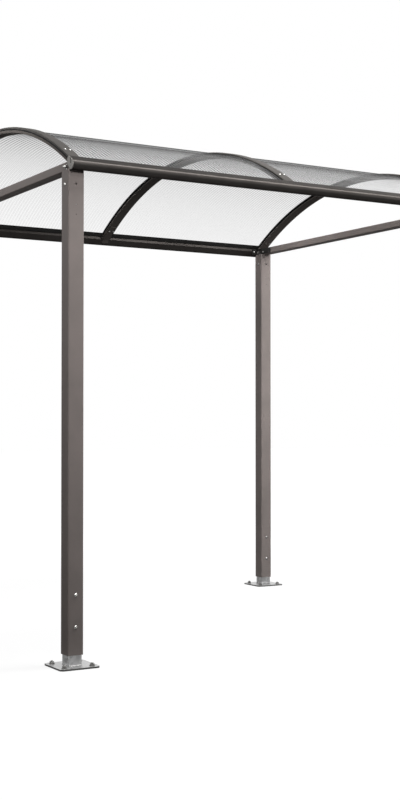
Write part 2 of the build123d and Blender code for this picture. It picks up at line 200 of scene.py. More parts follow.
@dataclass(frozen=True)
class HotDipGalvanised:
    """Hot-dip zinc on welded steel.

    The eye gets a bright silver-grey with faint crystals of spangle, smooth enough to carry a
    blurred reflection, and a dull dark line along the plate's cut edge and on the weld.
    """

    name: str = "hot_dip_galvanised_steel"
    light: str = "#c2c2c2"
    dark: str = "#adadad"
    edge: str = "#5f5e5d"
    spangle_mm: float = 14.0
    grain_mm: float = 1.111
    grain_depth_mm: float = 0.1
    grain_strength: float = 0.06
    edge_mm: float = 7.6  # height of the cut edge over the ground
    edge_fade_mm: float = 0.8
    weld_level: float = 0.707  # how far up the weld's face points
    weld_slack: float = 0.15
    metal: tuple[float, float] = (0.9, 0.4)  # on bare zinc and on the dull edge
    roughness: tuple[float, float] = (0.26, 0.38)  # from the dark crystals to the light ones

    def build(self) -> bpy.types.Material:
        """Makes the material.

        Returns:
            The new material.
        """
        material, tree = new_material(self.name)
        place = add_node(tree, "ShaderNodeTexCoord").outputs["Object"]
        spangle = add_node(
            tree, "ShaderNodeTexVoronoi", {"Vector": place, "Scale": 1.0 / (self.spangle_mm * MM)}
        ).outputs["Color"]
        grain = add_node(
            tree, "ShaderNodeTexNoise",
            {"Vector": place, "Scale": 1.0 / (self.grain_mm * MM), "Detail": 2.0},
        ).outputs["Fac"]
        grey = add_node(tree, "ShaderNodeRGBToBW", {0: spangle}).outputs[0]
        zinc = add_node(
            tree, "ShaderNodeValToRGB", {0: grey}, ((0.2, self.dark), (0.8, self.light))
        ).outputs["Color"]
        height = add_node(tree, "ShaderNodeSeparateXYZ", {0: place}).outputs["Z"]
        facing = add_node(tree, "ShaderNodeNewGeometry").outputs["Normal"]
        level = add_node(tree, "ShaderNodeSeparateXYZ", {0: facing}).outputs["Z"]
        tilt = add_node(tree, "ShaderNodeMath", {0: level}, operation="ABSOLUTE").outputs[0]
        upright = add_node(
            tree, "ShaderNodeMapRange", {0: tilt, 1: 0.2, 2: 0.6, 3: 1.0, 4: 0.0}
        ).outputs[0]
        low = add_node(
            tree, "ShaderNodeMapRange",
            {0: height, 1: (self.edge_mm - self.edge_fade_mm) * MM, 2: self.edge_mm * MM,
             3: 1.0, 4: 0.0},
        ).outputs[0]
        cut = add_node(tree, "ShaderNodeMath", {0: upright, 1: low}, operation="MULTIPLY")
        weld = add_node(
            tree, "ShaderNodeMath", {0: level, 1: self.weld_level, 2: self.weld_slack},
            operation="COMPARE",
        )
        dull = add_node(
            tree, "ShaderNodeMath", {0: cut.outputs[0], 1: weld.outputs[0]}, operation="MAXIMUM"
        ).outputs[0]
        colour = add_node(
            tree, "ShaderNodeMix", {"Factor": dull, 6: zinc, 7: linear(self.edge)},
            data_type="RGBA",
        ).outputs[2]
        bump = add_node(
            tree, "ShaderNodeBump",
            {"Strength": self.grain_strength, "Distance": self.grain_depth_mm * MM,
             "Height": grain},
        ).outputs["Normal"]
        metal, rough = (
            add_node(tree, "ShaderNodeMapRange", {0: share, 3: start, 4: end}).outputs[0]
            for share, (start, end) in ((dull, self.metal), (grey, self.roughness))
        )
        shader = add_node(
            tree, "ShaderNodeBsdfPrincipled",
            {"Base Color": colour, "Metallic": metal, "Roughness": rough, "Normal": bump},
        )
        add_node(tree, "ShaderNodeOutputMaterial", {"Surface": shader.outputs[0]})
        return material


@dataclass(frozen=True)
class TurnedSteel:
    """Cold-formed fastener steel, bare stainless or zinc plated.

    The eye gets small hard highlights, with a faint tooling grain that keeps them from
    looking like chrome.
    """

    name: str
    light: str
    dark: str
    roughness: float = 0.24
    grain_mm: float = 0.6
    grain_rough: float = 0.05

    def build(self) -> bpy.types.Material:
        """Makes the material.

        Returns:
            The new material.
        """
        material, tree = new_material(self.name)
        place = add_node(tree, "ShaderNodeTexCoord").outputs["Object"]
        grain = add_node(
            tree, "ShaderNodeTexNoise",
            {"Vector": place, "Scale": 1.0 / (self.grain_mm * MM), "Detail": 2.0},
        ).outputs["Fac"]
        colour = add_node(
            tree, "ShaderNodeValToRGB", {0: grain}, ((0.35, self.dark), (0.65, self.light))
        ).outputs["Color"]
        rough = add_node(
            tree, "ShaderNodeMapRange",
            {0: grain, 1: 0.3, 2: 0.7, 3: self.roughness - self.grain_rough,
             4: self.roughness + self.grain_rough},
        ).outputs[0]
        shader = add_node(
            tree, "ShaderNodeBsdfPrincipled",
            {"Base Color": colour, "Metallic": 1.0, "Roughness": rough},
        )
        add_node(tree, "ShaderNodeOutputMaterial", {"Surface": shader.outputs[0]})
        return material


@dataclass(frozen=True)
class MouldedPolymer:
    """Moulded polyamide or extruded rubber.

    The eye gets a dull surface with the fine even grain of a spark-eroded mould, or of the
    talc on rubber, and no clear reflection. Behind the outer face, as in a slot or port, the colour
    is painted dark: painted shade.
    """

    name: str
    light: str
    dark: str
    roughness: float = 0.6
    grain_mm: float = 0.8
    painted_shade_x: float = 0.0  # painted shade darkens the colour where |X| is less than this, as in a slot; 0 for none
    painted_shade_fade: float = 0.4 * MM
    # colour of the painted shade behind the outer face
    painted_recess_shade: str = "#1c1b1a"
    grain_rough: float = 0.05
    grain_depth_mm: float = 0.1
    grain_strength: float = 0.3
    specular: float = 0.1

    def build(self) -> bpy.types.Material:
        """Makes the material.

        Returns:
            The new material.
        """
        material, tree = new_material(self.name)
        place = add_node(tree, "ShaderNodeTexCoord").outputs["Object"]
        grain = add_node(
            tree, "ShaderNodeTexNoise",
            {"Vector": place, "Scale": 1.0 / (self.grain_mm * MM), "Detail": 3.0},
        ).outputs["Fac"]
        bump = add_node(
            tree, "ShaderNodeBump",
            {"Strength": self.grain_strength, "Distance": self.grain_depth_mm * MM,
             "Height": grain},
        ).outputs["Normal"]
        colour = add_node(
            tree, "ShaderNodeValToRGB", {0: grain}, ((0.3, self.dark), (0.7, self.light))
        ).outputs["Color"]
        # Painted shade: where |X| is below the given depth the colour fades to dark, as in a slot.
        if self.painted_shade_x:
            along = add_node(tree, "ShaderNodeSeparateXYZ", {0: place}).outputs["X"]
            reach = add_node(tree, "ShaderNodeMath", {0: along}, operation="ABSOLUTE").outputs[0]
            painted_shade = add_node(
                tree, "ShaderNodeMapRange",
                {0: reach, 1: self.painted_shade_x - self.painted_shade_fade, 2: self.painted_shade_x,
                 3: 1.0, 4: 0.0},
            ).outputs[0]
            colour = add_node(
                tree, "ShaderNodeMix", {"Factor": painted_shade, 6: colour, 7: linear(self.painted_recess_shade)},
                data_type="RGBA",
            ).outputs[2]
        rough = add_node(
            tree, "ShaderNodeMapRange",
            {0: grain, 3: self.roughness - self.grain_rough,
             4: self.roughness + self.grain_rough},
        ).outputs[0]
        shader = add_node(
            tree, "ShaderNodeBsdfPrincipled",
            {"Base Color": colour, "Roughness": rough, "Specular IOR Level": self.specular,
             "Normal": bump},
        )
        add_node(tree, "ShaderNodeOutputMaterial", {"Surface": shader.outputs[0]})
        return material


@dataclass(frozen=True)
class TwinWallPolycarbonate:
    """Clear extruded twin-wall polycarbonate, its cells running from eave to eave.

    Seen square on it is nearly clear, with a faint line at each of the webs between two cells;
    their lighter tint is painted highlight.
    Seen at a low angle there is more skin and more webs to look through, so it turns a soft grey
    and then dark; at the most grazing looks the tint is painted darker still: painted shade.
    """

    name: str = "clear_twin_wall_polycarbonate"
    skin: str = "#363636"
    # tint at the most grazing looks: painted shade
    rim: str = "#1c1c1c"
    # lighter than the skin: painted highlight on the webs
    web_and_highlight: str = "#8e8e8e"
    cell_mm: float = 20.0  # twice the real 10 mm cell, so that it shows
    web_mm: float = 2.6  # half width, drawn several times the real web's, so that it shows
    web_fade: float = 0.4  # blur of its edges, as a share of that
    cloud_mm: float = 455.0
    clear: float = 0.02  # haze of the skins, square on
    slanted: float = 0.30  # what a slanted look adds
    grazing: float = 0.65  # what a grazing look adds
    web_haze: float = 0.045
    web_slanted: float = 0.55
    slant_power: float = 3.0
    graze_power: float = 16.0
    # looks over which the tint fades to the painted grazing shade
    grazing_shade_from: float = 0.86
    grazing_shade_to: float = 0.99
    smoothest: float = 0.22
    roughest: float = 0.30

    def build(self) -> bpy.types.Material:
        """Makes the material.

        Returns:
            The new material.
        """
        material, tree = new_material(self.name)
        place = add_node(tree, "ShaderNodeTexCoord").outputs["Object"]
        across = add_node(tree, "ShaderNodeSeparateXYZ", {0: place}).outputs["X"]
        cell = add_node(
            tree, "ShaderNodeMath", {0: across, 1: self.cell_mm * MM / 2}, operation="PINGPONG"
        ).outputs[0]
        # Where the webs are: they get more alpha, and a lighter tint that is painted highlight.
        web_and_highlight = add_node(
            tree, "ShaderNodeMapRange",
            {0: cell, 1: self.web_mm * MM * (1 - self.web_fade),
             2: self.web_mm * MM * (1 + self.web_fade), 3: 1.0, 4: 0.0},
        ).outputs[0]
        cloud = add_node(
            tree, "ShaderNodeTexNoise",
            {"Vector": place, "Scale": 1.0 / (self.cloud_mm * MM), "Detail": 2.0},
        ).outputs["Fac"]
        facing = add_node(tree, "ShaderNodeLayerWeight", {"Blend": 0.5}).outputs["Facing"]
        slant, graze = (
            add_node(tree, "ShaderNodeMath", {0: facing, 1: power}, operation="POWER").outputs[0]
            for power in (self.slant_power, self.graze_power)
        )
        veil: Any = self.clear
        for look, haze in ((slant, self.slanted), (graze, self.grazing)):
            veil = add_node(
                tree, "ShaderNodeMath", {0: look, 1: haze, 2: veil}, operation="MULTIPLY_ADD"
            ).outputs[0]
        thick = add_node(
            tree, "ShaderNodeMath", {0: slant, 1: self.web_slanted, 2: self.web_haze},
            operation="MULTIPLY_ADD",
        ).outputs[0]
        alpha = add_node(
            tree, "ShaderNodeMath", {0: web_and_highlight, 1: thick, 2: veil},
            operation="MULTIPLY_ADD", use_clamp=True,
        ).outputs[0]
        # Painted shade: at grazing looks the tint turns to the dark colour.
        edge = add_node(
            tree, "ShaderNodeMapRange", {0: facing, 1: self.grazing_shade_from, 2: self.grazing_shade_to}
        ).outputs[0]
        tint: Any = linear(self.skin)
        for share, colour in ((web_and_highlight, self.web_and_highlight), (edge, self.rim)):
            tint = add_node(
                tree, "ShaderNodeMix", {"Factor": share, 6: tint, 7: linear(colour)},
                data_type="RGBA",
            ).outputs[2]
        rough = add_node(
            tree, "ShaderNodeMapRange",
            {0: cloud, 1: 0.3, 2: 0.7, 3: self.smoothest, 4: self.roughest},
        ).outputs[0]
        shader = add_node(
            tree, "ShaderNodeBsdfPrincipled",
            {"Base Color": tint, "Roughness": rough, "Specular IOR Level": 0.0, "Alpha": alpha},
        )
        add_node(tree, "ShaderNodeOutputMaterial", {"Surface": shader.outputs[0]})
        return material


CAP_FACE = float(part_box("beam_cap_front_right")[1][0])
CAP_BEVEL = 2.0 * MM  # the caps' bevelled rim; what lies behind it, slot or port, gets painted shade


class Finish(Enum):
    """The finishes of the shelter, by use."""

    FRAME = PowderCoat(
        "satin_taupe_powder_coat", "#7e7673", "#77706d", roughness=0.55, specular=0.06
    )
    EXTRUSION = PowderCoat(
        "smooth_umber_powder_coat", "#403d3b", "#3a3735", roughness=0.31, specular=0.03,
        peel_mm=1.6, flake=0.55,
    )
    COVER = PowderCoat(
        "matt_grey_powder_coat", "#4b4947", "#454341", roughness=0.62, specular=0.02
    )
    RAIL = PowderCoat(
        "matt_umber_powder_coat", "#55504d", "#4f4b48", roughness=0.62, specular=0.03
    )
    BLACK = PowderCoat(
        "black_cathodic_dip_coat", "#2a2928", "#232221", roughness=0.48, specular=0.3,
        peel_mm=1.5,
    )
    GALVANISED = HotDipGalvanised()
    # The caps' slot and port are painted dark behind the bevel: painted shade.
    CAP = MouldedPolymer(
        "moulded_grey_polyamide", "#8f8c88", "#85827e", roughness=0.5,
        painted_shade_x=CAP_FACE - CAP_BEVEL,
    )
    RUBBER = MouldedPolymer(
        "extruded_epdm_rubber", "#141414", "#0e0e0e", roughness=0.75, grain_mm=1.2
    )
    GLAZING = TwinWallPolycarbonate()
    STAINLESS = TurnedSteel("cold_formed_stainless_steel", "#bcbbb8", "#a4a3a0")
    ZINC = TurnedSteel(
        "zinc_plated_steel", "#8d8c8a", "#7a7977", roughness=0.34, grain_mm=1.0
    )


# Nodes of the slot frame_paint that have a coat of their own, by name without its last word.
COAT_BY_NODE: dict[str, Finish] = {
    "eave_beam": Finish.EXTRUSION,
    "arch_cover": Finish.COVER,
    "arch_rail": Finish.RAIL,
    "arch_clip": Finish.RAIL,
}
SLOT_FINISH: dict[str, Finish] = {
    "frame_paint": Finish.FRAME,
    "black_coat": Finish.BLACK,
    "galvanised": Finish.GALVANISED,
    "cap_plastic": Finish.CAP,
    "rubber": Finish.RUBBER,
    "polycarbonate": Finish.GLAZING,
}


class Paint:
    """Builds each finish once and hands it out."""

    def __init__(self) -> None:
        """Starts with no material built."""
        self.made: dict[Finish, bpy.types.Material] = {}

    def get(self, finish: Finish) -> bpy.types.Material:
        """Hands out a finish's material, built on first use.

        Args:
            finish: The finish wanted.

        Returns:
            Its material.
        """
        if finish not in self.made:
            self.made[finish] = finish.value.build()
        return self.made[finish]

    def dress(self, piece: bpy.types.Object, finish: Finish) -> None:
        """Gives the whole piece one finish.

        Args:
            piece: The piece.
            finish: Its finish.
        """
        piece.data.materials.clear()
        piece.data.materials.append(self.get(finish))

    def dress_frame(self, record: dict[str, Any]) -> None:
        """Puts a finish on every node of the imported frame: its own coat, or that of its slot.

        Args:
            record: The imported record, which names each node's slot.
        """
        for part in record["subparts"]:
            node = frame["nodes"][part["node"]]
            kind = part["node"].rsplit("_", 1)[0]
            finish = COAT_BY_NODE.get(kind, SLOT_FINISH[part["material_slot"]])
            for slot in node.material_slots:
                slot.link = "DATA"
                slot.material = self.get(finish)
            LOG.info("%s: %s", part["node"], part["material_slot"])


def link_object(name: str, data: Any) -> bpy.types.Object:
    """Adds an object to the scene's collection.

    Args:
        name: Name of the object.
        data: Its mesh, lamp or camera.

    Returns:
        The new object.
    """
    made = bpy.data.objects.new(name, data)
    bpy.context.collection.objects.link(made)
    return made


def close_mesh(build: bmesh.types.BMesh, name: str) -> bpy.types.Mesh:
    """Turns a closed body's faces outwards and keeps it as a mesh.

    Args:
        build: The body, which is freed.
        name: Name of the mesh.

    Returns:
        The mesh.
    """
    bmesh.ops.recalc_face_normals(build, faces=build.faces)
    mesh = bpy.data.meshes.new(name)
    build.to_mesh(mesh)
    build.free()
    return mesh


def add_piece(name: str, mesh: bpy.types.Mesh) -> bpy.types.Object:
    """Adds a finished mesh to the scene as a piece that rides on the frame.

    Args:
        name: Name of the piece.
        mesh: Its mesh, already in place in the frame.

    Returns:
        The new object.
    """
    piece = link_object(name, mesh)
    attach(piece, "root")
    LOG.info("%s: %d faces", name, len(mesh.polygons))
    return piece


# -------------------- vault
@dataclass
class Vault:
    """The circle that the roof sheets follow, in the plane across the eaves."""

    centre_z: float
    sheet_radius: float
    sheet_thickness: float
    end_angle: float

    @classmethod
    def from_sheet(
        cls, node: str, thickness: float = 10.0 * MM, widest: float = 100.0, halvings: int = 80
    ) -> "Vault":
        """Reads the circle back from a sheet's box, by halving the range of its radius.

        Args:
            node: A roof sheet whose two ends are cut square to its surface.
            thickness: Thickness of the sheet.
            widest: Largest radius that the circle may have.
            halvings: How often the range is halved.

        Returns:
            The vault whose sheet has that box.
        """
        low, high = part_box(node)
        reach, rise = float(high[1]), float(high[2] - low[2])
        near, far = reach, widest
        for _ in range(halvings):
            radius = (near + far) / 2
            angle = math.asin(reach / (radius + thickness))
            if radius * (1 - math.cos(angle)) + thickness > rise:
                near = radius
            else:
                far = radius
        return cls(float(high[2]) - thickness - radius, radius, thickness, angle)

    def sweep(self, section: list[tuple[float, float]], steps: int, name: str) -> bpy.types.Mesh:
        """Sweeps a section along the vault, from one end of the sheets to the other.

        Args:
            section: Its corners in order: X, and the distance outside the sheets' lower faces.
            steps: Number of straight stretches.
            name: Name of the mesh.

        Returns:
            The mesh, closed at both ends.
        """
        build = bmesh.new()
        rings = []
        for step in range(steps + 1):
            angle = self.end_angle * (2 * step / steps - 1)
            ring = []
            for x, offset in section:
                radius = self.sheet_radius + offset
                y, z = radius * math.sin(angle), self.centre_z + radius * math.cos(angle)
                ring.append(build.verts.new((x, y, z)))
            rings.append(ring)
        for one, two in zip(rings, rings[1:]):
            for i in range(len(section)):
                build.faces.new((one[i - 1], one[i], two[i], two[i - 1]))
        build.faces.new(rings[0])
        build.faces.new(rings[-1][::-1])
        return close_mesh(build, name)

    def point(self, x: float, y: float, offset: float) -> Vector:
        """The point over or under y at this distance outside the sheets' lower face."""
        radius = self.sheet_radius + offset
        return Vector((x, y, self.centre_z + math.sqrt(radius * radius - y * y)))

    def outwards(self, y: float, offset: float) -> Vector:
        """The direction square to the vault at that point."""
        angle = math.asin(y / (self.sheet_radius + offset))
        return Vector((0.0, math.sin(angle), math.cos(angle)))


@dataclass
class RoofSheets:
    """The two clear sheets: smooth closed slabs in place of the faceted solids."""

    vault: Vault
    steps: int = 96
    sharp: float = 0.6  # radians over which an edge stays sharp

    def build(self, paint: Paint) -> None:
        """Builds both sheets and puts them in place of their solids.

        Args:
            paint: Gives the polycarbonate.
        """
        top = self.vault.sheet_thickness
        for end in ENDS:
            node, name = f"roof_sheet_{end}", f"twin_wall_sheet_{end}"
            low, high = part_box(node)
            left, right = float(low[0]), float(high[0])
            middle = (left + right) / 2
            section = [
                (left, 0.0), (middle, 0.0), (right, 0.0), (right, top), (middle, top), (left, top)
            ]
            mesh = self.vault.sweep(section, self.steps, name)
            mesh.shade_smooth()
            mesh.set_sharp_from_angle(angle=self.sharp)
            piece = add_piece(name, mesh)
            paint.dress(piece, Finish.GLAZING)
            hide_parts(node)


@dataclass
class SealLips:
    """The lips of the end arches' rubber sections, which lap over cover and rail outside."""

    vault: Vault
    steps: int = 96
    stem_from: float = 4.6 * MM  # between rail and cover, above the sheet's lower face
    stem_to: float = 7.4 * MM
    stem_depth: float = 2.5 * MM
    lap: float = 1.9 * MM
    proud: float = 1.1 * MM
    shoulder: tuple[float, float] = (0.65, 0.5)  # of proud: out, and in from the lap's edge
    play: float = 0.05 * MM  # keeps the lap off the faces behind it

    def profile(self) -> list[tuple[float, float]]:
        """Draws the section.

        Returns:
            Its corners: how far out from the arch's outer face, and outside the sheet's lower one.
        """
        low, high = self.stem_from - self.lap, self.stem_to + self.lap
        out, back = (self.proud * share for share in self.shoulder)
        return [
            (self.play, low), (out, low + back), (self.proud, (low + high) / 2),
            (out, high - back), (self.play, high),
            (self.play, self.stem_to), (-self.stem_depth, self.stem_to),
            (-self.stem_depth, self.stem_from), (self.play, self.stem_from),
        ]

    def build(self, paint: Paint) -> None:
        """Builds the lip of each end arch.

        Args:
            paint: Gives the rubber.
        """
        for end, side in ENDS.items():
            low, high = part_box(f"arch_cover_{end}")
            face = float(high[0] if side > 0 else low[0])
            section = [(face + side * out, above) for out, above in self.profile()]
            name = f"seal_lip_{end}"
            piece = add_piece(name, self.vault.sweep(section, self.steps, name))
            paint.dress(piece, Finish.RUBBER)


# -------------------- fasteners
def lathe(
    build: bmesh.types.BMesh, outline: list[tuple[float, float]], sides: int
) -> None:
    """Adds a closed turned body, or a prism where the sides are few, to a mesh being built.

    Args:
        build: The mesh being built.
        outline: Radius and height in metres from the bottom to the top; a radius of 0 closes it.
        sides: Number of sides round the axis.
    """
    rings: list[list[bmesh.types.BMVert]] = []
    for radius, height in outline:
        if radius == 0.0:
            rings.append([build.verts.new((0.0, 0.0, height))])
            continue
        angles = [2 * math.pi * i / sides for i in range(sides)]
        rings.append([
            build.verts.new((radius * math.cos(a), radius * math.sin(a), height)) for a in angles
        ])
    for lower, upper in zip(rings, rings[1:]):
        for i in range(sides):
            j = (i + 1) % sides
            corners = [lower[i % len(lower)], lower[j % len(lower)],
                       upper[j % len(upper)], upper[i % len(upper)]]
            build.faces.new(list(dict.fromkeys(corners)))


def add_washer(build: bmesh.types.BMesh, diameter: float, height: float) -> None:
    """Adds a washer that stands on the XY plane.

    Args:
        build: The mesh being built.
        diameter: Its diameter.
        height: Its thickness.
    """
    half = diameter / 2
    lathe(build, [(0.0, 0.0), (half, 0.0), (half, height), (0.0, height)], sides=24)


def add_hexagon(
    build: bmesh.types.BMesh, across: float, base: float, top: float, chamfer: float,
    share: float, both: bool = False
) -> None:
    """Adds a hexagon with a chamfered top.

    Args:
        build: The mesh being built.
        across: Its width across flats.
        base: Height of its lower face.
        top: Height of its upper face.
        chamfer: Height of the chamfer.
        share: Width of the upper face, as a share of the hexagon's.
        both: Whether the lower face is chamfered too.
    """
    corner = across / math.sqrt(3)
    foot = [(corner * share, base), (corner, base + chamfer)] if both else [(corner, base)]
    lathe(build, [(0.0, base), *foot, (corner, top - chamfer), (corner * share, top),
                  (0.0, top)], sides=6)


@dataclass(frozen=True)
class DomeNut:
    """Acorn nut on a washer."""

    across_flats: float = 17.0 * MM
    washer: float = 21.0 * MM
    washer_height: float = 2.0 * MM
    hexagon: float = 8.0 * MM
    dome: float = 10.0 * MM
    dome_share: float = 0.92  # of the width across flats
    dome_sink: float = 0.2 * MM  # keeps the dome's foot inside the hexagon
    chamfer: float = 0.8 * MM
    top_share: float = 0.9

    def shape(self, build: bmesh.types.BMesh) -> None:
        """Adds the nut to a mesh being built, standing on the XY plane.

        Args:
            build: The mesh.
        """
        add_washer(build, self.washer, self.washer_height)
        top = self.washer_height + self.hexagon
        add_hexagon(
            build, self.across_flats, self.washer_height, top, self.chamfer, self.top_share
        )
        radius = self.across_flats / 2 * self.dome_share
        arc = [math.radians(15 * i) for i in range(6)]
        lathe(build, [(0.0, top - self.dome_sink)]
              + [(radius * math.cos(a), top + self.dome * math.sin(a)) for a in arc]
              + [(0.0, top + self.dome)], sides=20)


@dataclass(frozen=True)
class ButtonHead:
    """Low domed screw head with a hexagon socket."""

    diameter: float = 17.5 * MM
    height: float = 5.5 * MM
    socket: float = 6.0 * MM
    socket_depth: float = 2.6 * MM
    rim: float = 0.7 * MM
    crown: tuple[float, ...] = (0.35, 0.65, 0.9, 1.15)  # angles up the dome, in radians

    def shape(self, build: bmesh.types.BMesh) -> None:
        """Adds the head to a mesh being built, standing on the XY plane.

        Args:
            build: The mesh.
        """
        half, corner = self.diameter / 2, self.socket / math.sqrt(3)
        floor = self.height - self.socket_depth
        crown = [
            (half * math.cos(a), self.rim + (self.height - self.rim) * math.sin(a))
            for a in self.crown
        ]
        lathe(build, [(0.0, 0.0), (half, 0.0), (half, self.rim), *crown,
                      (corner, self.height), (corner, floor), (0.0, floor)], sides=24)


@dataclass(frozen=True)
class HexHead:
    """Hexagon screw head on a washer."""

    across_flats: float = 17.0 * MM
    height: float = 6.5 * MM
    washer: float = 21.0 * MM
    washer_height: float = 2.0 * MM
    chamfer: float = 0.7 * MM
    top_share: float = 0.88

    def shape(self, build: bmesh.types.BMesh) -> None:
        """Adds the head to a mesh being built, standing on the XY plane.

        Args:
            build: The mesh.
        """
        add_washer(build, self.washer, self.washer_height)
        top = self.washer_height + self.height
        add_hexagon(
            build, self.across_flats, self.washer_height, top, self.chamfer, self.top_share
        )


@dataclass(frozen=True)
class AnchorNut:
    """Threaded anchor stud with its nut and washer."""

    stud: float = 12.0 * MM
    stud_height: float = 14.5 * MM
    pitch: float = 1.75 * MM
    across_flats: float = 18.0 * MM
    nut_height: float = 8.5 * MM
    washer: float = 28.0 * MM
    washer_height: float = 2.5 * MM
    chamfer: float = 0.8 * MM
    top_share: float = 0.9
    thread_depth: float = 0.9 * MM
    thread_sink: float = 0.1 * MM
    tip: float = 0.8 * MM  # length of the stud's end without thread
    tip_bevel: float = 0.6 * MM

    def shape(self, build: bmesh.types.BMesh) -> None:
        """Adds the set to a mesh being built, standing on the XY plane.

        Args:
            build: The mesh.
        """
        add_washer(build, self.washer, self.washer_height)
        top = self.washer_height + self.nut_height
        add_hexagon(
            build, self.across_flats, self.washer_height, top, self.chamfer, self.top_share,
            both=True,
        )
        crest, root = self.stud / 2, self.stud / 2 - self.thread_depth
        outline = [(0.0, top - self.thread_sink), (root, top - self.thread_sink)]
        height = top
        while height + self.pitch < self.stud_height - self.tip:
            outline += [(crest, height + self.pitch / 2), (root, height + self.pitch)]
            height += self.pitch
        outline += [(crest - self.tip_bevel, self.stud_height), (0.0, self.stud_height)]
        lathe(build, outline, sides=16)


@dataclass
class FastenerSet:
    """One kind of fastener, set at many places by one node tree."""

    name: str
    head: DomeNut | ButtonHead | HexHead | AnchorNut
    finish: Finish
    places: list[tuple[Vector, Vector]]
    slot: str = "galvanised"
    seed: int = 7

    def tree(self) -> bpy.types.NodeTree:
        """Makes the tree that stands the head on every point, turned at random about its axis.

        Returns:
            The node tree, with the inputs Head, Scale, Seed and Finish.
        """
        tree = bpy.data.node_groups.new(f"set_{self.name}", "GeometryNodeTree")
        face = tree.interface
        for label, kind in (("Geometry", "NodeSocketGeometry"), ("Head", "NodeSocketObject"),
                            ("Scale", "NodeSocketFloat"), ("Seed", "NodeSocketInt"),
                            ("Finish", "NodeSocketMaterial")):
            face.new_socket(label, in_out="INPUT", socket_type=kind)
        face.new_socket("Geometry", in_out="OUTPUT", socket_type="NodeSocketGeometry")
        given = add_node(tree, "NodeGroupInput").outputs
        shape = add_node(tree, "GeometryNodeObjectInfo", {"Object": given["Head"]})
        aim = add_node(
            tree, "GeometryNodeInputNamedAttribute", {"Name": "aim"}, data_type="FLOAT_VECTOR"
        ).outputs["Attribute"]
        along = add_node(tree, "FunctionNodeAlignRotationToVector", {"Vector": aim}, axis="Z")
        spin = add_node(
            tree, "FunctionNodeRandomValue", {2: 0.0, 3: 2 * math.pi, "Seed": given["Seed"]},
            data_type="FLOAT",
        )
        about = add_node(tree, "ShaderNodeCombineXYZ", {"Z": spin.outputs[1]})
        stand = add_node(
            tree, "GeometryNodeInstanceOnPoints",
            {"Points": given["Geometry"], "Instance": shape.outputs["Geometry"],
             "Rotation": along.outputs["Rotation"], "Scale": given["Scale"]},
        )
        turned = add_node(
            tree, "GeometryNodeRotateInstances",
            {"Instances": stand.outputs["Instances"], "Rotation": about.outputs["Vector"],
             "Local Space": True},
        )
        real = add_node(
            tree, "GeometryNodeRealizeInstances", {"Geometry": turned.outputs["Instances"]}
        )
        dressed = add_node(
            tree, "GeometryNodeSetMaterial",
            {"Geometry": real.outputs["Geometry"], "Material": given["Finish"]},
        )
        add_node(tree, "NodeGroupOutput", {"Geometry": dressed.outputs["Geometry"]})
        return tree

    def build(self, paint: Paint) -> None:
        """Sets the fasteners and keeps the result as one plain mesh.

        Args:
            paint: Gives the fasteners' steel.
        """
        points = bpy.data.meshes.new(f"{self.name}_places")
        points.from_pydata([place for place, _ in self.places], [], [])
        aims = points.attributes.new("aim", "FLOAT_VECTOR", "POINT")
        for item, (_, aim) in zip(aims.data, self.places):
            item.vector = aim
        carrier = link_object(f"{self.name}_carrier", points)
        shape = bmesh.new()
        self.head.shape(shape)
        head = link_object(f"{self.name}_head", close_mesh(shape, f"{self.name}_head"))
        modifier = carrier.modifiers.new("set", "NODES")
        modifier.node_group = self.tree()
        values = {"Head": head, "Scale": 1.0, "Seed": self.seed, "Finish": paint.get(self.finish)}
        for item in modifier.node_group.interface.items_tree:
            if item.in_out == "INPUT" and item.name in values:
                modifier[item.identifier] = values[item.name]
        graph = bpy.context.evaluated_depsgraph_get()
        mesh = bpy.data.meshes.new_from_object(carrier.evaluated_get(graph))
        mesh.name = self.name
        for attribute in [a for a in mesh.attributes if a.name == "aim"]:
            mesh.attributes.remove(attribute)
        bpy.data.objects.remove(carrier)
        bpy.data.objects.remove(head)
        mesh.shade_flat()
        add_piece(self.name, mesh)


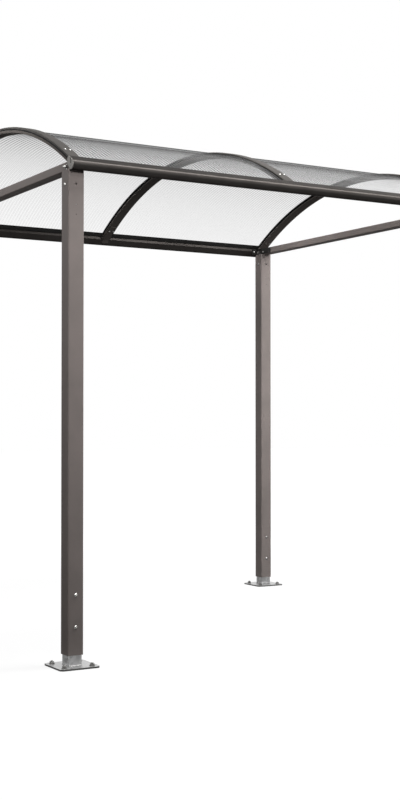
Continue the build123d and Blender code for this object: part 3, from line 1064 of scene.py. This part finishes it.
@dataclass
class Fasteners:
    """Every screw, bolt and nut of the shelter, at the places that the frame gives."""

    vault: Vault
    anchor_half: float = 70.0 * MM
    plate_top: float = 8.0 * MM
    shoe_bolt_heights: tuple[float, ...] = (185.0 * MM, 332.0 * MM)
    top_bolt_height: float = 2226.0 * MM
    tie_bolt_height: float = 2308.0 * MM
    bracket_screw_back: float = 55.0 * MM
    cover_screw_reach: float = 981.0 * MM
    cover_screw_half: float = 13.0 * MM
    cover_top: float = 19.7 * MM  # of the covers, above the sheets' lower faces
    soffit_drop: float = 11.0 * MM  # from there down to the rails' undersides
    clip_wall: float = 4.0 * MM  # the middle rail's clip, between rail and nuts
    bracket_wall: float = 5.0 * MM
    bracket_shift: float = 6.0 * MM  # of the screw in the bracket's leg on the beam
    bracket_rise: float = 4.0 * MM
    bracket_screw: ButtonHead = ButtonHead(
        diameter=13.0 * MM, height=4.4 * MM, socket=4.0 * MM, socket_depth=2.0 * MM
    )
    cover_screw: ButtonHead = ButtonHead(
        diameter=12.0 * MM, height=4.0 * MM, socket=4.0 * MM, socket_depth=1.8 * MM
    )
    rail_nut: HexHead = HexHead(
        across_flats=10.0 * MM, height=5.0 * MM, washer=13.0 * MM, washer_height=1.2 * MM
    )

    def anchors(self) -> FastenerSet:
        """Four anchor studs on each base plate.

        Returns:
            The set of anchor nuts.
        """
        places = []
        for corner in CORNERS:
            low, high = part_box(f"base_shoe_{corner}")
            x, y = (low[0] + high[0]) / 2, (low[1] + high[1]) / 2
            for sx in (-1, 1):
                for sy in (-1, 1):
                    along, across = sx * self.anchor_half, sy * self.anchor_half
                    places.append((Vector((x + along, y + across, self.plate_top)),
                                   Vector((0, 0, 1))))
        return FastenerSet("anchor_nuts", AnchorNut(), Finish.ZINC, places)

    def shoe_bolts(self) -> FastenerSet:
        """Two bolts through each post and its shoe, with a head on both faces.

        Returns:
            The set of their heads.
        """
        places = []
        for corner in CORNERS:
            low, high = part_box(f"post_{corner}")
            x = (low[0] + high[0]) / 2
            for height in self.shoe_bolt_heights:
                for face, way in ((low, -1), (high, 1)):
                    places.append((Vector((x, face[1], height)), Vector((0, way, 0))))
        return FastenerSet("shoe_bolt_heads", ButtonHead(), Finish.STAINLESS, places)

    def top_bolts(self) -> FastenerSet:
        """One bolt across each post's top, through the spigot, with a head on both faces.

        Returns:
            The set of their heads.
        """
        places = []
        for corner in CORNERS:
            low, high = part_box(f"post_{corner}")
            y = (low[1] + high[1]) / 2
            for face, way in ((low, -1), (high, 1)):
                places.append((Vector((face[0], y, self.top_bolt_height)), Vector((way, 0, 0))))
        return FastenerSet("post_top_bolt_heads", ButtonHead(), Finish.STAINLESS, places)

    def tie_bolts(self) -> list[FastenerSet]:
        """A dome nut outside each tie over its post, and the bolt's head on the bracket inside.

        Returns:
            The sets of nuts, heads and bracket screws.
        """
        outside, inside, screws = [], [], []
        for corner, (sx, sy) in CORNERS.items():
            end = "left" if sx < 0 else "right"
            low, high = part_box(f"end_tie_{end}")
            outer, inner = (low[0], high[0]) if sx < 0 else (high[0], low[0])
            low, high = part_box(f"post_{corner}")
            y = (low[1] + high[1]) / 2
            away, height = Vector((sx, 0, 0)), self.tie_bolt_height
            outside.append((Vector((outer, y, height)), away))
            face = inner - sx * self.bracket_wall
            inside.append((Vector((face, y, height)), -away))
            screws.append((Vector((face, y - sy * self.bracket_screw_back, height)), -away))
            low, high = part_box(f"corner_bracket_{corner}")
            flat = (high[1] if sy > 0 else low[1]) - sy * self.bracket_wall
            leg_x = (low[0] + high[0]) / 2 - sx * self.bracket_shift
            screws.append((Vector((leg_x, flat, height + self.bracket_rise)),
                           Vector((0, -sy, 0))))
        return [
            FastenerSet("tie_dome_nuts", DomeNut(), Finish.STAINLESS, outside),
            FastenerSet("tie_bolt_heads", HexHead(), Finish.STAINLESS, inside),
            FastenerSet("bracket_screws", self.bracket_screw, Finish.STAINLESS, screws),
        ]

    def arch_screws(self) -> list[FastenerSet]:
        """Two screws across each foot of each arch: heads on the cover, nuts under the rail.

        Returns:
            The sets of heads and nuts.
        """
        heads, nuts = [], []
        for arch in ARCHES:
            low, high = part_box(f"arch_cover_{arch}")
            x = (low[0] + high[0]) / 2
            drop = self.soffit_drop + (self.clip_wall if arch == "middle" else 0.0)
            for sy in (-1, 1):
                y = sy * self.cover_screw_reach
                for sx in (-1, 1):
                    at = x + sx * self.cover_screw_half
                    up = self.vault.outwards(y, self.cover_top)
                    heads.append((self.vault.point(at, y, self.cover_top), up))
                    nuts.append((self.vault.point(at, y, -drop), -up))
        return [
            FastenerSet("cover_screw_heads", self.cover_screw, Finish.STAINLESS, heads),
            FastenerSet("rail_nuts", self.rail_nut, Finish.STAINLESS, nuts),
        ]

    def build(self, paint: Paint) -> None:
        """Sets every kind.

        Args:
            paint: Gives the steels.
        """
        for kind in (self.anchors(), self.shoe_bolts(), self.top_bolts(),
                     *self.tie_bolts(), *self.arch_screws()):
            kind.build(paint)


# -------------------- studio
@dataclass(frozen=True)
class Lamp:
    """A soft rectangular lamp: metres, watts and the degrees that its light spreads over."""

    name: str
    at: tuple[float, float, float]
    towards: tuple[float, float, float]
    size: tuple[float, float]
    power: float
    spread: float = 180.0
    mirrored: bool = True  # whether metal shows it


@dataclass
class Studio:
    """Pale floor, white surroundings, soft lamps and the camera."""

    floor_size: float = 80.0
    floor_paint: str = "#666666"
    floor_glow: tuple[float, float] = (0.87, 1.0)  # near the object and away from it
    floor_reach: tuple[float, float] = (2.0, 5.0)  # where one turns into the other
    lens: float = 58.14  # mm, on a sensor of this height
    sensor: float = 36.0
    view_reach: float = 200.0
    camera_at: tuple[float, float, float] = (-3.735, -6.492, 1.121)
    pitch: float = 91.0265
    yaw: float = -30.4914
    fill: float = 0.10
    floor_shine: float = 0.2  # share of the floor's glow that a mirror shows
    lamps: tuple[Lamp, ...] = (
        Lamp("front_high_lamp", (0.5, -6.0, 6.0), (0.0, -0.5, 2.3), (4.0, 1.0), 14.0, 60.0),
        Lamp("front_lamp", (-3.0, -7.0, 4.0), (0.0, 0.0, 2.4), (3.0, 1.5), 42.0, 60.0),
        Lamp("right_front_lamp", (3.6, -6.0, 3.6), (1.25, 1.0, 2.3), (1.0, 0.8), 4.0, 24.0),
        Lamp("left_lamp", (-6.5, -1.5, 2.9), (0.0, -0.5, 2.6), (3.0, 1.2), 9.0, 70.0),
        Lamp("arch_side_lamp", (-6.5, -2.0, 3.05), (0.0, 0.0, 3.0), (1.0, 0.3), 6.0, 16.0),
        Lamp("back_left_lamp", (-4.0, 4.5, 3.6), (-1.2, -1.0, 2.3), (2.0, 1.6), 8.0, 90.0),
        Lamp("ridge_lamp", (2.4, -1.9, 4.8), (2.4, -1.2, 2.3), (6.4, 0.8), 330.0),
        Lamp("back_lamp", (1.5, 7.0, 3.2), (0.0, 1.0, 1.6), (4.0, 2.0), 90.0, 120.0, False),
        Lamp("right_lamp", (7.0, 0.5, 3.2), (1.2, 0.0, 1.6), (4.0, 2.0), 80.0, 120.0, False),
    )

    def build_floor(self) -> None:
        """Lays the floor: white to the eye, and a little less near the object, for its shadow."""
        mesh = bpy.data.meshes.new("studio_floor")
        half = self.floor_size / 2
        corners = [(-half, -half, 0), (half, -half, 0), (half, half, 0), (-half, half, 0)]
        mesh.from_pydata(corners, [], [(0, 1, 2, 3)])
        floor = link_object("studio_floor", mesh)
        material, tree = new_material("studio_floor_white")
        place = add_node(tree, "ShaderNodeTexCoord").outputs["Object"]
        away = add_node(
            tree, "ShaderNodeVectorMath", {0: place}, operation="LENGTH"
        ).outputs["Value"]
        seen = self.seen(tree, self.floor_shine)
        near, far = self.floor_reach
        low, high = self.floor_glow
        glow = add_node(
            tree, "ShaderNodeMapRange", {0: away, 1: near, 2: far, 3: low, 4: high}
        ).outputs[0]
        strength = add_node(
            tree, "ShaderNodeMath", {0: glow, 1: seen}, operation="MULTIPLY"
        ).outputs[0]
        lit = add_node(tree, "ShaderNodeBsdfDiffuse", {"Color": linear(self.floor_paint)})
        glowing = add_node(
            tree, "ShaderNodeEmission", {"Color": linear("#ffffff"), "Strength": strength}
        )
        both = add_node(tree, "ShaderNodeAddShader", {0: lit.outputs[0], 1: glowing.outputs[0]})
        add_node(tree, "ShaderNodeOutputMaterial", {"Surface": both.outputs[0]})
        mesh.materials.append(material)

    def seen(self, tree: bpy.types.NodeTree, shine: float = 1.0) -> bpy.types.NodeSocket:
        """Adds the test for what the eye sees: straight, in a mirror or through glass.

        Args:
            tree: The tree to add to.
            shine: How much of it a mirror shows.

        Returns:
            The socket that is 1 where the surroundings are looked at.
        """
        path = add_node(tree, "ShaderNodeLightPath").outputs
        seen = add_node(
            tree, "ShaderNodeMath", {0: path["Is Glossy Ray"], 1: shine}, operation="MULTIPLY"
        ).outputs[0]
        for ray in ("Is Camera Ray", "Is Transmission Ray"):
            seen = add_node(
                tree, "ShaderNodeMath", {0: path[ray], 1: seen}, operation="MAXIMUM"
            ).outputs[0]
        return seen

    def build_world(self) -> None:
        """Makes the surroundings white to the eye and in reflections, and a soft fill otherwise."""
        world = bpy.data.worlds.new("studio_white")
        world.use_nodes = True
        tree = world.node_tree
        tree.nodes.clear()
        strength = add_node(
            tree, "ShaderNodeMapRange", {0: self.seen(tree), 3: self.fill, 4: 1.0}
        ).outputs[0]
        back = add_node(
            tree, "ShaderNodeBackground", {"Color": linear("#ffffff"), "Strength": strength}
        )
        add_node(tree, "ShaderNodeOutputWorld", {"Surface": back.outputs[0]})
        bpy.context.scene.world = world

    def add_lamp(self, lamp: Lamp) -> None:
        """Hangs one lamp, hidden from the camera.

        Args:
            lamp: The lamp.
        """
        light = bpy.data.lights.new(lamp.name, "AREA")
        light.shape = "RECTANGLE"
        light.size, light.size_y = lamp.size
        light.energy = lamp.power
        light.spread = math.radians(lamp.spread)
        holder = link_object(lamp.name, light)
        holder.location = lamp.at
        aim = Vector(lamp.towards) - Vector(lamp.at)
        holder.rotation_euler = aim.to_track_quat("-Z", "Y").to_euler()
        holder.visible_camera = False
        holder.visible_glossy = lamp.mirrored

    def build_camera(self) -> None:
        """Adds the camera and makes it the scene's own."""
        camera = bpy.data.cameras.new("studio_camera")
        camera.sensor_fit = "VERTICAL"
        camera.sensor_height = self.sensor
        camera.lens = self.lens
        camera.clip_end = self.view_reach
        holder = link_object("studio_camera", camera)
        holder.location = self.camera_at
        holder.rotation_euler = (math.radians(self.pitch), 0.0, math.radians(self.yaw))
        bpy.context.scene.camera = holder

    def build(self) -> None:
        """Builds the whole studio."""
        self.build_floor()
        self.build_world()
        for lamp in self.lamps:
            self.add_lamp(lamp)
        self.build_camera()
        bpy.context.scene.view_settings.view_transform = "Standard"
        LOG.info("studio built")


def main() -> None:
    """Builds the shelter's looks, class by class."""
    logging.basicConfig(level=logging.INFO, format="%(name)s: %(message)s")
    Studio().build()
    paint = Paint()
    paint.dress_frame(frame["record"])
    vault = Vault.from_sheet("roof_sheet_left")
    LOG.info("vault: radius %.4f, centre %.4f", vault.sheet_radius, vault.centre_z)
    RoofSheets(vault).build(paint)
    SealLips(vault).build(paint)
    Fasteners(vault).build(paint)


if __name__ == "__main__":
    main()
